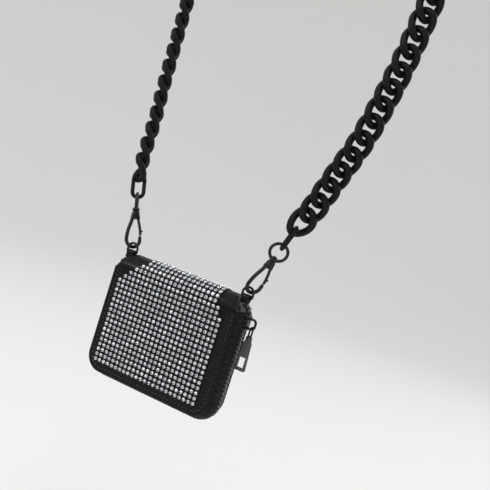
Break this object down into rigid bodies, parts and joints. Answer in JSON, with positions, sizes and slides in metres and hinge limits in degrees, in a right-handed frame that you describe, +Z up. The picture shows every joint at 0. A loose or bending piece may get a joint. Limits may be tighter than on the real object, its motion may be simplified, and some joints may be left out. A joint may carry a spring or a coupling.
{
  "type": "chain_wallet",
  "caption": "Zip-around card wallet with a rhinestone front, hung on a matt black curb-chain shoulder strap by two swivel snap hooks",
  "frame": {"origin": "under the strap's highest link, where it rests on the shoulder that carries it", "axes": "+Z up; the wallet's rhinestone front faces -Y; its zip pull is on +X"},
  "size_m": [0.2165, 0.0464, 0.5004],
  "materials": {
    "leather": "black smooth-grained leather with a faint crinkle sheen",
    "rhinestone": "round faceted clear stones with silvered backs on a black ground",
    "board": "grey-brown stiffening board, unpainted",
    "lining": "black woven polyester lining",
    "zip_tape": "black woven zip tape",
    "zip_teeth": "black moulded teeth, slightly shiny",
    "gloss_black_metal": "glossy black lacquered zinc and steel wire",
    "matt_black_chain": "matt black coated aluminium links"
  },
  "bodies": {
    "wallet_back": {"back_cover": "leather", "spine_cover": "leather", "spine_lining": "lining", "spine_stone_sheet": "rhinestone", "back_stone_sheet": "rhinestone", "back_board": "board", "back_lining": "lining", "card_pocket_1": "lining", "card_pocket_2": "lining", "card_pocket_3": "lining", "back_zip_tape": "zip_tape", "back_zip_teeth": "zip_teeth", "left_zip_end": "zip_tape", "right_zip_end": "zip_tape", "left_ring_tab": "leather", "right_ring_tab": "leather", "leaf_tape": "zip_tape", "strap_chain": "matt_black_chain", "left_swivel_ring": "gloss_black_metal", "right_swivel_ring": "gloss_black_metal", "left_end_link": "matt_black_chain", "right_end_link": "matt_black_chain"},
    "front_half": {"front_cover": "leather", "front_stone_sheet": "rhinestone", "front_board": "board", "front_lining": "lining", "front_bill_pocket": "lining", "front_zip_tape": "zip_tape", "front_zip_teeth": "zip_teeth"},
    "coin_leaf": {"coin_pocket_front": "lining", "coin_pocket_back": "lining", "coin_pocket_binding": "zip_tape", "coin_zip_chain": "zip_teeth"},
    "coin_slider": {"coin_zip_slider": "gloss_black_metal"},
    "slider": {"zip_slider": "gloss_black_metal"},
    "bail": {"pull_bail": "gloss_black_metal"},
    "tab": {"pull_tab": "gloss_black_metal"},
    "right_ring": {"right_d_ring": "gloss_black_metal"},
    "left_ring": {"left_d_ring": "gloss_black_metal"},
    "right_hook_body": {"right_hook": "gloss_black_metal", "right_gate_pin": "gloss_black_metal"},
    "left_hook_body": {"left_hook": "gloss_black_metal", "left_gate_pin": "gloss_black_metal"},
    "right_gate": {"right_hook_gate": "gloss_black_metal"},
    "left_gate": {"left_hook_gate": "gloss_black_metal"}
  },
  "joints": [
    {"name": "front_cover_fold", "type": "hinge", "parent": "wallet_back", "child": "front_half", "pos_m": [-0.018, -0.0339, -0.3995], "axis": [-1, 0, 0], "range_deg": [0, 90]},
    {"name": "coin_leaf_fold", "type": "hinge", "parent": "wallet_back", "child": "coin_leaf", "pos_m": [-0.018, -0.021, -0.4035], "axis": [-1, 0, 0], "range_deg": [0, 45]},
    {"name": "coin_zip_travel", "type": "slide", "parent": "coin_leaf", "child": "coin_slider", "axis": [1, 0, 0], "range_m": [0, 0.078]},
    {"name": "zip_travel", "type": "slide", "parent": "wallet_back", "child": "slider", "axis": [0, 0, -1], "range_m": [0, 0.056]},
    {"name": "bail_swing", "type": "hinge", "parent": "slider", "child": "bail", "pos_m": [0.04545, -0.021, -0.4071], "axis": [0, -1, 0], "range_deg": [0, 100]},
    {"name": "pull_tab_swing", "type": "hinge", "parent": "bail", "child": "tab", "pos_m": [0.04545, -0.021, -0.4153], "axis": [0, -1, 0], "range_deg": [0, 60]},
    {"name": "right_ring_turn", "type": "hinge", "parent": "wallet_back", "child": "right_ring", "pos_m": [0.034, -0.021, -0.3886], "axis": [1, 0, 0], "range_deg": [-3, 3]},
    {"name": "right_hook_swivel", "type": "hinge", "parent": "wallet_back", "child": "right_hook_body", "pos_m": [0.04435, -0.021, -0.35844], "axis": [0.3401, 0, 0.9404], "range_deg": [0, 60]},
    {"name": "right_gate_press", "type": "hinge", "parent": "right_hook_body", "child": "right_gate", "pos_m": [0.04392, -0.01892, -0.36317], "axis": [-0.8144, 0.5, 0.2946], "range_deg": [0, 20], "stiffness_Nm_per_rad": 0.004, "springref_deg": -20.05},
    {"name": "left_ring_turn", "type": "hinge", "parent": "wallet_back", "child": "left_ring", "pos_m": [-0.07, -0.021, -0.3886], "axis": [1, 0, 0], "range_deg": [-3, 3]},
    {"name": "left_hook_swivel", "type": "hinge", "parent": "wallet_back", "child": "left_hook_body", "pos_m": [-0.07924, -0.01825, -0.35821], "axis": [-0.2996, 0.0999, 0.9488], "range_deg": [0, 60]},
    {"name": "left_gate_press", "type": "hinge", "parent": "left_hook_body", "child": "left_gate", "pos_m": [-0.07669, -0.01663, -0.36242], "axis": [-0.8185, 0.4841, -0.3094], "range_deg": [0, 20], "stiffness_Nm_per_rad": 0.004, "springref_deg": -20.05}
  ],
  "couplings": [
    {"joint": "coin_leaf_fold", "follows": "front_cover_fold", "ratio": 0.5}
  ]
}
